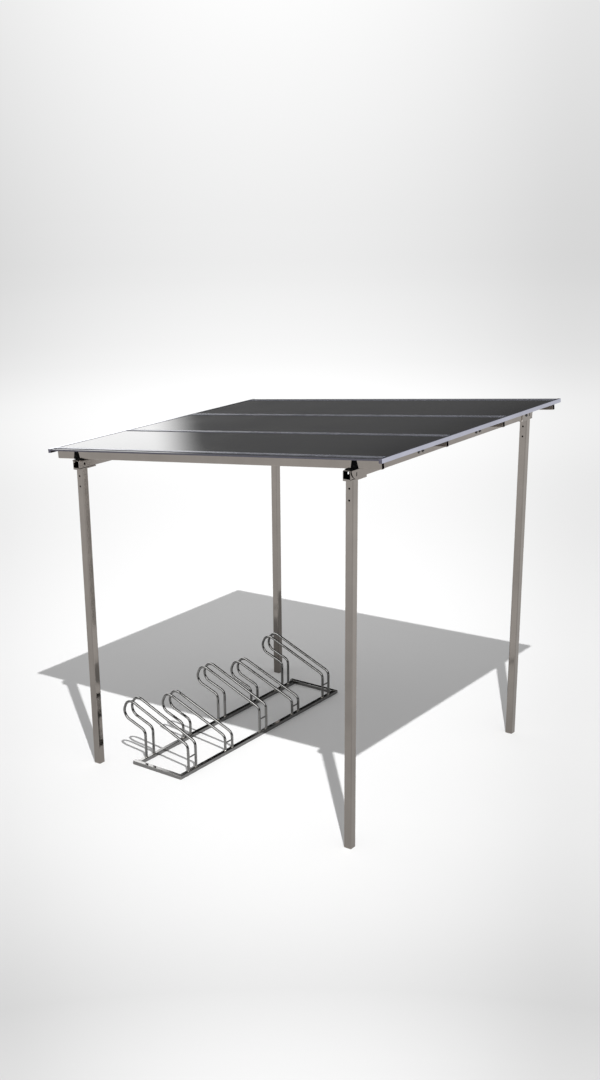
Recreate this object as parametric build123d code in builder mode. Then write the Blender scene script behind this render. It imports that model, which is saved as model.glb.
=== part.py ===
from build123d import *
import os
from math import cos, radians, sin, tan

# Bike shelter with a single-pitch roof on four posts, and the wheel rack that stands under it.
# Millimetres. +Z is up, the high open side where bicycles come in faces -Y, and the origin lies
# on the ground under the middle of the roof.

# ---- Frame ----
tube_side = 50.0             # square steel tube of the posts and headers
tube_wall = 3.0
tube_corner = 6.0            # outer corner radius of the tube
bay_width = 2005.0           # left post to right post, centre to centre
bay_depth = 2000.0           # front post to back post, centre to centre
front_clear_height = 2195.0  # ground to the underside of the front header
header_end = 25.0            # how far a header runs past the outer face of its posts
post_hole_diameter = 12.0
post_hole_drop = 52.0        # underside of the header to the upper fixing hole
post_hole_pitch = 65.0       # upper fixing hole to lower fixing hole
header_hole_diameter = 16.0  # hole through a header above the middle of each post

# ---- Brackets between a post and its header ----
bracket_foot = 8.0           # plate between the post's top and the header
bracket_cheek = 5.0          # plate up the header's outer face
bracket_length = 148.0
bracket_round = 72.0         # radius of the cheek's lower outer corner
bracket_slot_width = 8.0     # upright slot through the cheek, over the header's hole
bracket_slot_height = 21.0

# ---- Roof ----
roof_pitch = 5.4             # degrees, falling to the back
front_overhang = 192.5       # post face to the roof's front edge
back_overhang = 214.5        # post face to the roof's back edge
side_overhang = 48.0         # middle of an outer rafter to the roof's side edge
bay_count = 3
rafter_width = 25.0
rafter_height = 50.0
rafter_wall = 2.0
rafter_corner = 3.0
rafter_front_setback = 27.0  # roof's front edge to the rafters' ends
rafter_back_setback = 46.0   # roof's back edge to the rafters' ends
seal_under = 2.0             # rubber between a rafter and the sheets
sheet_thickness = 10.0
sheet_gap = 3.0              # between a sheet's edge and the web of a glazing bar
seal_over = 1.5              # rubber between the sheets and a glazing bar
bar_width = 36.0
bar_wall = 1.5               # top and side lips of a glazing bar
bar_web = 4.0                # upright web of an inner glazing bar, between two sheets
edging_wall = 1.5            # channel along the front and back edges of the sheets
edging_cover = 20.0          # how far the channel's upper lip reaches over the sheets
edging_lip = 20.0            # how far its lower lip reaches under the sheets
edging_drop = 12.5           # underside of the sheets to the channel's underside
edging_seal_width = 12.0     # rubber that packs the sheets up against the upper lip

# ---- Cleats between the headers and the rafters ----
cleat_seat = 1.0             # least thickness of the wedge under a rafter
cleat_leg = 4.0              # plate up the side of a rafter
cleat_inside = 24.0          # how far the plate reaches over the header from its outer face
cleat_outside = 24.0         # how far it reaches out from the header's outer face
cleat_taper = 12.0           # how far each end of the plate slopes in towards its top
cleat_flange = 16.0          # flange on the header beside the plate
cleat_flange_thickness = 3.0

# ---- Wheel rack ----
rack_width = 1804.0
rack_front = 364.0           # origin to the rack's front face
rack_depth = 416.0
rail_width = 30.0
rail_height = 25.0
rail_wall = 2.0
rail_corner = 3.0
rail_back_inset = 18.0       # back end of the end bars to the back rail
holder_count = 5
holder_inset = 136.0         # rack's side to the middle of the outer holders
holder_bar = 18.0            # diameter of the bent bars
holder_gap = 57.0            # clear width for a wheel between two bars
front_knee = 177.0           # rail to the corner where the front leg meets the slope
slope_reach = 511.0          # front leg to the nose's upper corner, level
nose_top = 392.0             # rail to the nose's upper corner
nose_reach = 568.0           # front leg to the nose's lower corner, level
nose_bottom = 262.0          # rail to the nose's lower corner
back_knee = 189.0            # rail to the corner where the back leg meets the nose
nose_radius = 62.0
knee_radius = 45.0
low_drop = 72.0              # how much lower the front knee of every second holder is
low_nose_drop = 82.0         # how much lower its nose and its back knee are
rod_diameter = 10.0
rod_height = 92.0            # rail to the spacer rod between a holder's front legs

# ---- Places that follow from the sizes above ----
pitch_sin = sin(radians(roof_pitch))
pitch_cos = cos(radians(roof_pitch))
pitch_tan = tan(radians(roof_pitch))
half_tube = tube_side / 2
roof_depth = bay_depth + tube_side + front_overhang + back_overhang
front_post_y = -roof_depth / 2 + front_overhang + half_tube
back_post_y = front_post_y + bay_depth
post_x = bay_width / 2
header_length = bay_width + tube_side + 2 * header_end
front_header_top = front_clear_height + tube_side
underside_at_origin = front_header_top + cleat_seat + (front_post_y + half_tube) * pitch_tan
back_header_top = underside_at_origin - (back_post_y + half_tube) * pitch_tan - cleat_seat
sheet_bottom = rafter_height + seal_under
sheet_top = sheet_bottom + sheet_thickness
bar_cover = sheet_top + seal_over
edging_bottom = sheet_bottom - edging_drop
edging_top = sheet_top + edging_wall
roof_front = (roof_depth / 2 + edging_bottom * pitch_sin) / pitch_cos
roof_back = (roof_depth / 2 - edging_top * pitch_sin) / pitch_cos
sheet_length = roof_front + roof_back - 2 * edging_wall
bar_length = roof_front + roof_back - 2 * edging_cover
rafter_length = roof_front + roof_back - rafter_front_setback - rafter_back_setback
roof_half_width = post_x + side_overhang
rafter_pitch = bay_width / bay_count
holder_pitch = (rack_width - 2 * holder_inset) / (holder_count - 1)
holder_spread = holder_gap + holder_bar
side_names = ("left", "right")


def across_slope(distance):
    """Plane square to the slope, distance millimetres down it from above the origin; +Z climbs."""
    origin = Vector(0, distance * pitch_cos, underside_at_origin - distance * pitch_sin)
    return Plane(origin=origin, x_dir=(1, 0, 0), z_dir=(0, -pitch_cos, pitch_sin))


def beside_slope(x):
    """Plane along the slope at x: +X runs down it to the back, +Y stands up from the rafters."""
    origin = Vector(x, 0, underside_at_origin)
    return Plane(origin=origin, x_dir=(0, pitch_cos, -pitch_sin), z_dir=(1, 0, 0))


def tube_outline(width, height, wall, corner):
    """Draws the section of a rectangular tube with rounded corners."""
    RectangleRounded(width, height, corner)
    RectangleRounded(width - 2 * wall, height - 2 * wall, corner - wall, mode=Mode.SUBTRACT)


def front_mitre(side):
    """Upright plane at 45 degrees through a front corner of the rack; +Z looks into the rail."""
    return Plane(origin=(side * rack_width / 2, rack_front, 0), z_dir=(-side, -1, 0))


def save(piece, label):
    """Names a finished piece and writes it."""
    piece.label = label
    export_step(piece, f"parts/{label}.step")


os.makedirs("parts", exist_ok=True)

# ---- Posts: square tubes, with two fixing holes right through below the header ----
header_tops = {"front": (front_post_y, front_header_top), "back": (back_post_y, back_header_top)}
for end, (post_y, header_top) in header_tops.items():
    header_bottom = header_top - tube_side
    for side, x in zip(side_names, (-post_x, post_x)):
        with BuildPart() as post:
            with BuildSketch():
                with Locations((x, post_y)):
                    tube_outline(tube_side, tube_side, tube_wall, tube_corner)
            extrude(amount=header_bottom - bracket_foot)
            with BuildSketch(Plane.YZ.offset(x)):
                for drop in (post_hole_drop, post_hole_drop + post_hole_pitch):
                    with Locations((post_y, header_bottom - drop)):
                        Circle(post_hole_diameter / 2)
            extrude(amount=tube_side, both=True, mode=Mode.SUBTRACT)
        save(post.part, f"post_{end}_{side}")

# ---- Headers: one square tube across the front posts and one across the back posts ----
for end, (post_y, header_top) in header_tops.items():
    with BuildPart() as header:
        with BuildSketch(Plane.YZ.offset(-header_length / 2)):
            with Locations((post_y, header_top - half_tube)):
                tube_outline(tube_side, tube_side, tube_wall, tube_corner)
        extrude(amount=header_length)
        with BuildSketch(Plane.XZ.offset(-post_y)):
            with Locations(*[(x, header_top - half_tube) for x in (-post_x, post_x)]):
                Circle(header_hole_diameter / 2)
        extrude(amount=tube_side, both=True, mode=Mode.SUBTRACT)
    save(header.part, f"header_{end}")

# ---- Post brackets: a foot plate under the header and a rounded cheek up its outer face ----
for end, (post_y, header_top) in header_tops.items():
    header_bottom = header_top - tube_side
    outward = -1 if end == "front" else 1
    outer_face = post_y + outward * half_tube
    for side, inward in zip(side_names, (1, -1)):
        outer_x = -inward * header_length / 2
        middle_x = outer_x + inward * bracket_length / 2
        with BuildPart() as bracket:
            with BuildSketch(Plane.XY.offset(header_bottom - bracket_foot)):
                with Locations((middle_x, post_y)):
                    Rectangle(bracket_length, tube_side)
            extrude(amount=bracket_foot)
            with BuildSketch(Plane.XZ.offset(-outer_face)) as cheek:
                with Locations((middle_x, header_bottom - bracket_foot)):
                    Rectangle(bracket_length, 2 * bracket_round, align=(Align.CENTER, Align.MIN))
                low_corners = cheek.vertices().group_by(Axis.Y)[0].sort_by(Axis.X)
                fillet(low_corners[0 if inward == 1 else -1], radius=bracket_round)
                with Locations((middle_x, header_top)):
                    Rectangle(bracket_length, 2 * bracket_round, align=(Align.CENTER, Align.MIN),
                              mode=Mode.SUBTRACT)
                with Locations((-inward * post_x, header_top - half_tube)):
                    Rectangle(bracket_slot_width, bracket_slot_height, mode=Mode.SUBTRACT)
            extrude(amount=-outward * bracket_cheek)
        save(bracket.part, f"bracket_{end}_{side}")

# ---- Rafters: four rectangular tubes down the slope ----
rafter_names = ("left", "centre_left", "centre_right", "right")
rafter_x = [-post_x + index * rafter_pitch for index in range(bay_count + 1)]
for name, x in zip(rafter_names, rafter_x):
    with BuildPart() as rafter:
        with BuildSketch(across_slope(roof_back - rafter_back_setback)):
            with Locations((x, rafter_height / 2)):
                tube_outline(rafter_width, rafter_height, rafter_wall, rafter_corner)
        extrude(amount=rafter_length)
    save(rafter.part, f"rafter_{name}")

# ---- Cleats: a wedge under each rafter, a flange on the header and a plate up the rafter ----
for end, (post_y, header_top) in header_tops.items():
    outward = -1 if end == "front" else 1
    outer_face = post_y + outward * half_tube
    for name, x in zip(rafter_names, rafter_x):
        leg_side = -1 if x < 0 else 1
        leg_x = x + leg_side * rafter_width / 2
        plate_ends = [(outer_face - outward * cleat_inside) / pitch_cos,
                      (outer_face + outward * cleat_outside) / pitch_cos]
        edges = (post_y - half_tube, post_y + half_tube)
        undersides = [underside_at_origin - y * pitch_tan for y in edges]
        with BuildPart() as cleat:
            with BuildSketch(Plane.YZ.offset(leg_x + leg_side * cleat_leg)):
                with BuildLine():
                    Polyline((edges[0], header_top), (edges[1], header_top), (edges[1], undersides[1]),
                             (edges[0], undersides[0]), close=True)
                make_face()
            extrude(amount=-leg_side * (rafter_width + cleat_leg))
            with BuildSketch(Plane.XY.offset(header_top)):
                with Locations((leg_x + leg_side * (cleat_leg + cleat_flange) / 2, post_y)):
                    Rectangle(cleat_leg + cleat_flange, tube_side)
            extrude(amount=cleat_flange_thickness)
            with BuildSketch(beside_slope(leg_x)):
                with BuildLine():
                    Polyline((plate_ends[0], 0), (plate_ends[1], 0),
                             (plate_ends[1] - outward * cleat_taper, rafter_height),
                             (plate_ends[0] + outward * cleat_taper, rafter_height), close=True)
                make_face()
            extrude(amount=leg_side * cleat_leg)
        save(cleat.part, f"cleat_{end}_{name}")

# ---- Sheets: one dark sheet in each bay ----
joints = [-roof_half_width] + rafter_x[1:-1] + [roof_half_width]
for index, name in enumerate(("left", "centre", "right")):
    left_edge = joints[index] + (bar_web / 2 + sheet_gap if index > 0 else 0)
    right_edge = joints[index + 1] - (bar_web / 2 + sheet_gap if index < bay_count - 1 else 0)
    with BuildPart() as sheet:
        with BuildSketch(across_slope(roof_back - edging_wall)):
            with Locations(((left_edge + right_edge) / 2, sheet_bottom)):
                Rectangle(right_edge - left_edge, sheet_thickness, align=(Align.CENTER, Align.MIN))
        extrude(amount=sheet_length)
    save(sheet.part, f"roof_sheet_{name}")

# ---- Glazing bars: lipped covers over the rafters, with a web between two sheets ----
for name, x in zip(rafter_names, rafter_x):
    with BuildPart() as bar:
        with BuildSketch(across_slope(roof_back - edging_cover)):
            with Locations((x, sheet_top)):
                Rectangle(bar_width, seal_over + bar_wall, align=(Align.CENTER, Align.MIN))
                Rectangle(bar_width - 2 * bar_wall, seal_over, align=(Align.CENTER, Align.MIN),
                          mode=Mode.SUBTRACT)
            if x in rafter_x[1:-1]:
                with Locations((x, sheet_bottom)):
                    Rectangle(bar_web, bar_cover - sheet_bottom, align=(Align.CENTER, Align.MIN))
        extrude(amount=bar_length)
    save(bar.part, f"glazing_bar_{name}")

# ---- Rubber strips: under the sheets on the rafters, and over the sheets under the bars ----
with BuildPart() as rafter_seals:
    with BuildSketch(across_slope(roof_back - rafter_back_setback)):
        with Locations(*[(x, rafter_height) for x in rafter_x]):
            Rectangle(rafter_width, seal_under, align=(Align.CENTER, Align.MIN))
    extrude(amount=rafter_length)
save(rafter_seals.part, "rafter_seals")

with BuildPart() as bar_seals:
    with BuildSketch(across_slope(roof_back - edging_cover)):
        with Locations(*[(x, sheet_top) for x in rafter_x]):
            Rectangle(bar_width - 2 * bar_wall, seal_over, align=(Align.CENTER, Align.MIN))
        with Locations(*[(x, sheet_top) for x in rafter_x[1:-1]]):
            Rectangle(bar_web, seal_over, align=(Align.CENTER, Align.MIN), mode=Mode.SUBTRACT)
    extrude(amount=bar_length)
save(bar_seals.part, "bar_seals")

# ---- Edging: a channel along the front and back edges, and the rubber that packs it ----
for end, tip, inward in (("front", -roof_front, 1), ("back", roof_back, -1)):
    lip_end = tip + inward * edging_lip
    with BuildPart() as edging:
        with BuildSketch(beside_slope(-roof_half_width)):
            with BuildLine():
                Polyline((tip, edging_bottom), (lip_end, edging_bottom),
                         (lip_end, edging_bottom + edging_wall),
                         (tip + inward * edging_wall, edging_bottom + edging_wall),
                         (tip + inward * edging_wall, sheet_top),
                         (tip + inward * edging_cover, sheet_top),
                         (tip + inward * edging_cover, edging_top), (tip, edging_top), close=True)
            make_face()
        extrude(amount=2 * roof_half_width)
    save(edging.part, f"edging_{end}")

    with BuildPart() as edging_seal:
        with BuildSketch(beside_slope(-roof_half_width)):
            with Locations((lip_end - inward * edging_seal_width / 2, edging_bottom + edging_wall)):
                Rectangle(edging_seal_width, edging_drop - edging_wall,
                          align=(Align.CENTER, Align.MIN))
        extrude(amount=2 * roof_half_width)
    save(edging_seal.part, f"edging_seal_{end}")

# ---- Rack frame: two rails across and an end bar at each side, mitred at the front corners ----
rack_back = rack_front + rack_depth
front_rail_y = rack_front + rail_width / 2
back_rail_y = rack_back - rail_back_inset - rail_width / 2
rail_runs = (("front", front_rail_y, rack_width), ("back", back_rail_y, rack_width - 2 * rail_width))
for name, y, length in rail_runs:
    with BuildPart() as rail:
        with BuildSketch(Plane.YZ.offset(-length / 2)):
            with Locations((y, rail_height / 2)):
                tube_outline(rail_width, rail_height, rail_wall, rail_corner)
        extrude(amount=length)
        if name == "front":
            split(bisect_by=front_mitre(-1), keep=Keep.TOP)
            split(bisect_by=front_mitre(1), keep=Keep.TOP)
    save(rail.part, f"rack_rail_{name}")

for side, outward in zip(side_names, (-1, 1)):
    with BuildPart() as end_bar:
        with BuildSketch(Plane.XZ.offset(-rack_front)):
            with Locations((outward * (rack_width - rail_width) / 2, rail_height / 2)):
                tube_outline(rail_width, rail_height, rail_wall, rail_corner)
        extrude(amount=-rack_depth)
        split(bisect_by=front_mitre(outward), keep=Keep.BOTTOM)
    save(end_bar.part, f"rack_end_bar_{side}")

# ---- Wheel holders: two bent bars side by side with a spacer rod, high and low in turn ----
for index in range(holder_count):
    low = index % 2
    knee_drop, nose_drop = low * low_drop, low * low_nose_drop
    middle_x = (index - (holder_count - 1) / 2) * holder_pitch
    corners = [(front_rail_y, rail_height), (front_rail_y, rail_height + front_knee - knee_drop),
               (front_rail_y + slope_reach, rail_height + nose_top - nose_drop),
               (front_rail_y + nose_reach, rail_height + nose_bottom - nose_drop),
               (back_rail_y, rail_height + back_knee - nose_drop), (back_rail_y, rail_height)]
    with BuildPart() as holder:
        for x in (middle_x - holder_spread / 2, middle_x + holder_spread / 2):
            with BuildLine(Plane.YZ.offset(x)):
                FilletPolyline(*corners, radius=(knee_radius, nose_radius, nose_radius, knee_radius))
            with BuildSketch(Plane.XY.offset(rail_height)):
                with Locations((x, front_rail_y)):
                    Circle(holder_bar / 2)
            sweep()
        rod_rise = rod_height * (front_knee - knee_drop) / front_knee
        with BuildSketch(Plane.YZ.offset(middle_x - holder_spread / 2)):
            with Locations((front_rail_y, rail_height + rod_rise)):
                Circle(rod_diameter / 2)
        extrude(amount=holder_spread)
    save(holder.part, f"wheel_holder_{index + 1}")
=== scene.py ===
"""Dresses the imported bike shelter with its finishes, fixings and welds, and sets it in a plain studio.

Everything is in metres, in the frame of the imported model: +Z is up and the high open side faces -Y.
"""

import logging
import math
from dataclasses import dataclass
from enum import Enum
from typing import Any

import bmesh
import bpy
from mathutils import Matrix, Vector


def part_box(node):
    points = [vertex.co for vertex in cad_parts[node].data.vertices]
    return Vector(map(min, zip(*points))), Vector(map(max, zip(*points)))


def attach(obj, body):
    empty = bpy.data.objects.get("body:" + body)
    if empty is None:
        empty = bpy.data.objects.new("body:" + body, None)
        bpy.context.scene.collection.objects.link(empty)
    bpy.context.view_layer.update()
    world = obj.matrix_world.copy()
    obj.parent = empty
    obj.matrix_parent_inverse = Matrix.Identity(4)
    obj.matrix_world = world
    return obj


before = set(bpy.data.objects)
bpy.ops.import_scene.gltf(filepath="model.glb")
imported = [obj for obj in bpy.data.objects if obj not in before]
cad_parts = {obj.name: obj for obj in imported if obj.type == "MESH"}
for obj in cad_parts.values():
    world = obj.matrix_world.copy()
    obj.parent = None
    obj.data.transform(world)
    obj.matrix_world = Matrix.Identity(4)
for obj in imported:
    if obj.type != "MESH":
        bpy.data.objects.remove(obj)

LOG = logging.getLogger("bike_shelter")
Colour = tuple[float, float, float]
Pair = tuple[float, float]
Stops = tuple[Pair, ...]

UNSCALED = (1.0, 1.0, 1.0)
NOISE_SPAN: Pair = (0.3, 0.7)    # where most of a noise pattern's values lie
FACES_THAT_WAY = 0.5             # part of a face's normal along an axis, past which it faces along it
WAVE_TURN = 20.0                 # radians that a wave texture turns through in a metre at a scale of 1
SMOOTH_BELOW = 35.0              # degrees between two faces, past which the edge stays sharp
WELD_SMOOTH_BELOW = 60.0
EASED_ABOVE = 0.7                # radians between two faces, past which a small solid's edge is eased

FRAME_METAL: Colour = (0.365, 0.333, 0.305)
HEADER_METAL: Colour = (0.34, 0.31, 0.284)
RACK_METAL: Colour = (0.19, 0.188, 0.184)
RACK_WELD_METAL: Colour = (0.3, 0.285, 0.265)
BAR_METAL: Colour = (0.245, 0.25, 0.29)
EDGING_METAL: Colour = (0.60, 0.61, 0.72)


@dataclass(frozen=True)
class Layout:
    """Where the posts, headers and brackets stand.

    Attributes:
        middle_y: The Y midway between the front and the back posts.
        post_x: Half the posts' spacing across.
        post_y: Half their spacing from front to back.
        header_face: How far a header's outer face is from middle_y.
        bracket_end: How far a bracket's inner end is from the middle of the shelter.
    """

    middle_y: float
    post_x: float
    post_y: float
    header_face: float
    bracket_end: float

    @classmethod
    def read(cls) -> "Layout":
        """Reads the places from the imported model.

        Returns:
            The layout.
        """
        first_low, first_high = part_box("post_front_left")
        last_low, last_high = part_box("post_back_right")
        first, last = (first_low + first_high) / 2, (last_low + last_high) / 2
        middle_y = (first.y + last.y) / 2
        header_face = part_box("header_back")[1].y - middle_y
        bracket_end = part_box("bracket_back_right")[0].x
        return cls(middle_y, (last.x - first.x) / 2, (last.y - first.y) / 2, header_face, bracket_end)


LAYOUT = Layout.read()


class Run(Enum):
    """The direction that a drawn or extruded length runs in."""

    ACROSS = (0, 0.0)
    SLOPE = (1, math.radians(5.4))
    LEVEL = (1, 0.0)
    UP = (2, 0.0)

    @property
    def axis(self) -> int:
        """The axis nearest to the length, 0 to 2."""
        return self.value[0]

    @property
    def tilt(self) -> float:
        """How far the length falls to the back, in radians."""
        return self.value[1]

    def stretch(self, along: float, across: float) -> tuple[float, float, float]:
        """Makes a pattern's scales for a length that runs this way.

        Args:
            along: The scale along the length.
            across: The scale in the two directions across it.

        Returns:
            The scales along X, Y and Z.
        """
        scales = [across, across, across]
        scales[self.axis] = along
        return tuple(scales)


@dataclass(frozen=True)
class Grain:
    """The fineness of a noise pattern."""

    scale: float = 1.0
    detail: float = 3.0
    roughness: float = 0.5


@dataclass(frozen=True)
class Relief:
    """The strength of a surface's bump, and its depth in metres."""

    strength: float
    depth: float


class NodeGraph:
    """A node tree filled from an empty start."""

    def __init__(self, tree: bpy.types.NodeTree) -> None:
        """Empties the tree.

        Args:
            tree: The tree of a material, a world or a lamp.
        """
        self.tree = tree
        tree.nodes.clear()

    def add(self, kind: str, inputs: dict[str | int, Any] | None = None, **settings: Any) -> bpy.types.Node:
        """Adds one node and fills its inputs.

        Args:
            kind: The node's type, without its "ShaderNode" prefix.
            inputs: A value or an output socket for each named or numbered input.
            settings: Values for the node's own properties.

        Returns:
            The new node.
        """
        node = self.tree.nodes.new("ShaderNode" + kind)
        for name, value in settings.items():
            setattr(node, name, value)
        for key, value in (inputs or {}).items():
            if isinstance(value, bpy.types.NodeSocket):
                self.tree.links.new(value, node.inputs[key])
            else:
                node.inputs[key].default_value = value
        return node

    def math(self, operation: str, first: Any, second: Any = 0.0, third: Any = 0.0) -> bpy.types.NodeSocket:
        """Adds a sum on numbers.

        Args:
            operation: The Math node's operation.
            first: A number or a socket.
            second: Another, where the operation takes two.
            third: Another, where it takes three.

        Returns:
            The result's socket.
        """
        return self.add("Math", {0: first, 1: second, 2: third}, operation=operation).outputs[0]

    def distance(self, value: Any, middle: float) -> bpy.types.NodeSocket:
        """Works out how far a number is from a middle, on either side of it."""
        return self.math("ABSOLUTE", self.math("SUBTRACT", value, middle))

    def parts(self, vector: Any) -> tuple[bpy.types.NodeSocket, ...]:
        """Splits a vector into its X, Y and Z."""
        return tuple(self.add("SeparateXYZ", {0: vector}).outputs)

    def spread(self, source: Any, low: float, high: float, start: float = 0.0,
               end: float = 1.0, smooth: bool = False) -> bpy.types.NodeSocket:
        """Maps a number from one range to another.

        Args:
            source: The socket to map.
            low: The result at start.
            high: The result at end.
            start: Where the source's range begins.
            end: Where it ends.
            smooth: Eases the two ends of the range.

        Returns:
            The output socket, held between low and high.
        """
        node = self.add("MapRange", {0: source, 1: start, 2: end, 3: low, 4: high},
                        interpolation_type="SMOOTHSTEP" if smooth else "LINEAR")
        return node.outputs[0]

    def blend(self, amount: Any, first: Any, second: Any) -> bpy.types.NodeSocket:
        """Mixes two colours.

        Args:
            amount: The share of the second colour, from 0 to 1.
            first: A colour or its socket.
            second: The other one.

        Returns:
            The mixed colour's socket.
        """
        node = self.add("Mix", {0: amount}, data_type="RGBA", blend_type="MIX")
        for socket, value in ((node.inputs[6], first), (node.inputs[7], second)):
            if isinstance(value, bpy.types.NodeSocket):
                self.tree.links.new(value, socket)
            else:
                socket.default_value = (*value, 1.0)
        return node.outputs[2]

    def placed(self, scale: tuple[float, float, float] = UNSCALED, tilt: float = 0.0) -> bpy.types.NodeSocket:
        """Makes the places that a pattern is read at.

        Args:
            scale: The pattern's scales along X, Y and Z.
            tilt: A turn about X before the scaling, in radians.

        Returns:
            The object coordinates, turned and then scaled.
        """
        where = self.add("TexCoord").outputs["Object"]
        turned = self.add("Mapping", {"Vector": where, "Rotation": (tilt, 0.0, 0.0)}).outputs[0]
        return self.add("Mapping", {"Vector": turned, "Scale": scale}).outputs[0]

    def ramp(self, source: Any, stops: Stops) -> bpy.types.NodeSocket:
        """Reads a grey level from a list of places and levels.

        Args:
            source: The place to look up.
            stops: Places in rising order, each with its level.

        Returns:
            The level's output socket.
        """
        first, last = stops[0][0], stops[-1][0]
        node = self.add("ValToRGB", {0: self.spread(source, 0.0, 1.0, first, last)})
        bar = node.color_ramp
        while len(bar.elements) < len(stops):
            bar.elements.new(0.5)
        for element, (place, _level) in zip(bar.elements, stops):
            element.position = (place - first) / (last - first)
        for element, (_place, level) in zip(bar.elements, stops):
            element.color = (level, level, level, 1.0)
        return node.outputs[0]

    def noise(self, where: Any, grain: Grain) -> bpy.types.NodeSocket:
        """Adds a noise pattern.

        Args:
            where: The places that it is read at.
            grain: Its fineness.

        Returns:
            Its strength, which lies about 0.5.
        """
        return self.add("TexNoise", {"Vector": where, "Scale": grain.scale, "Detail": grain.detail,
                                     "Roughness": grain.roughness}).outputs[0]

    def wave(self, where: Any, direction: str, length: float,
             distortion: float = 0.0) -> bpy.types.NodeSocket:
        """Adds a pattern of even bands.

        Args:
            where: The places that it is read at.
            direction: The direction that the bands follow each other in.
            length: From one band to the next, in metres.
            distortion: How uneven the bands are.

        Returns:
            Its strength, from 0 to 1.
        """
        scale = math.tau / (WAVE_TURN * length)
        return self.add("TexWave", {"Vector": where, "Scale": scale, "Distortion": distortion},
                        wave_type="BANDS", bands_direction=direction).outputs[1]

    def cover(self, surface: bpy.types.Node, tint: Any, rough: Any, height: Any, relief: Relief) -> None:
        """Joins a finish's patterns to its surface shader.

        Args:
            surface: The surface shader.
            tint: The colour's socket.
            rough: The roughness's socket.
            height: The socket of the height that the bump comes from.
            relief: The bump's strength and depth.
        """
        bump = self.add("Bump", {"Strength": relief.strength, "Distance": relief.depth, "Height": height})
        self.tree.links.new(tint, surface.inputs["Base Color"])
        self.tree.links.new(rough, surface.inputs["Roughness"])
        self.tree.links.new(bump.outputs[0], surface.inputs["Normal"])


@dataclass(frozen=True)
class Finish:
    """What every surface finish has: a name, a colour and a roughness."""

    name: str
    colour: Colour
    roughness: float

    def make(self) -> bpy.types.Material:
        """Makes the material.

        Returns:
            A node material that is ready to go on a piece.
        """
        material = bpy.data.materials.new(self.name)
        material.use_nodes = True
        graph = NodeGraph(material.node_tree)
        surface = graph.add("BsdfPrincipled")
        graph.add("OutputMaterial", {"Surface": surface.outputs[0]})
        self.lay(graph, surface)
        material.diffuse_color = (*self.colour, 1.0)
        return material

    def toned(self, *shares: float) -> Colour:
        """Works out a darker or paler kind of the finish's colour.

        Args:
            shares: The share of the colour that is left: one, or one for each of red, green and blue.

        Returns:
            The colour times the shares.
        """
        return tuple(channel * share for channel, share in zip(self.colour, shares * len(self.colour)))

    def lay(self, graph: NodeGraph, surface: bpy.types.Node) -> None:
        """Joins the finish's patterns to the surface shader.

        Args:
            graph: The material's graph.
            surface: Its surface shader.
        """
        raise NotImplementedError


@dataclass(frozen=True)
class DrawnSteel(Finish):
    """Bright tube or bar with fine drawing lines along its length, and faint handling marks.

    Attributes:
        run: The direction that the length runs in.
        lines: How far the lines raise and lower the roughness.
        cloud: Half the share of the colour that is lost where there is no mark.
        line_scales: The lines' scales, along the length and across it.
        line: The lines' fineness.
        mark: The marks' fineness.
        speck: The fineness of the specks in the skin.
        speck_height: The specks' height, beside the lines'.
        dulling: The share of the roughness with no mark, and with a full one.
        dulled_span: The strengths of mark that the two shares stand for.
        least_roughness: The roughness that no part of it goes below.
        relief: The bump of lines and specks.
    """

    run: Run = Run.UP
    lines: float = 0.05
    cloud: float = 0.05
    line_scales: Pair = (3.0, 1400.0)
    line: Grain = Grain(detail=2.0)
    mark: Grain = Grain(7.0, 5.0, 0.62)
    speck: Grain = Grain(160.0, 2.0)
    speck_height: float = 0.3
    dulling: Pair = (0.75, 1.45)
    dulled_span: Pair = (0.25, 0.8)
    least_roughness: float = 0.03
    relief: Relief = Relief(0.05, 0.0003)

    def shade(self, graph: NodeGraph, tint: bpy.types.NodeSocket) -> bpy.types.NodeSocket:
        """Leaves the metal's colour as it is; a kind of tube or plate may change it in places.

        Args:
            graph: The material's graph.
            tint: The colour's socket.

        Returns:
            The socket of the colour to use.
        """
        return tint

    def lay(self, graph: NodeGraph, surface: bpy.types.Node) -> None:
        """Lays drawing lines, cloudy marks and a little dulling over bare metal.

        Args:
            graph: The material's graph.
            surface: Its surface shader.
        """
        lines = graph.noise(graph.placed(self.run.stretch(*self.line_scales), self.run.tilt), self.line)
        marks = graph.noise(graph.placed(), self.mark)
        specks = graph.noise(graph.placed(), self.speck)
        clouded = graph.blend(graph.spread(marks, 0.0, 1.0, *NOISE_SPAN),
                              self.toned(1.0 - 2.0 * self.cloud), self.colour)
        tint = self.shade(graph, clouded)
        dulled = graph.math("MULTIPLY", graph.spread(marks, *self.dulling, *self.dulled_span), self.roughness)
        lined = graph.math("MULTIPLY_ADD", graph.spread(lines, -0.5, 0.5, *NOISE_SPAN), self.lines, dulled)
        rough = graph.math("MAXIMUM", lined, self.least_roughness)
        height = graph.math("ADD", lines, graph.math("MULTIPLY", specks, self.speck_height))
        surface.inputs["Metallic"].default_value = 1.0
        graph.cover(surface, tint, rough, height, self.relief)


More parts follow.
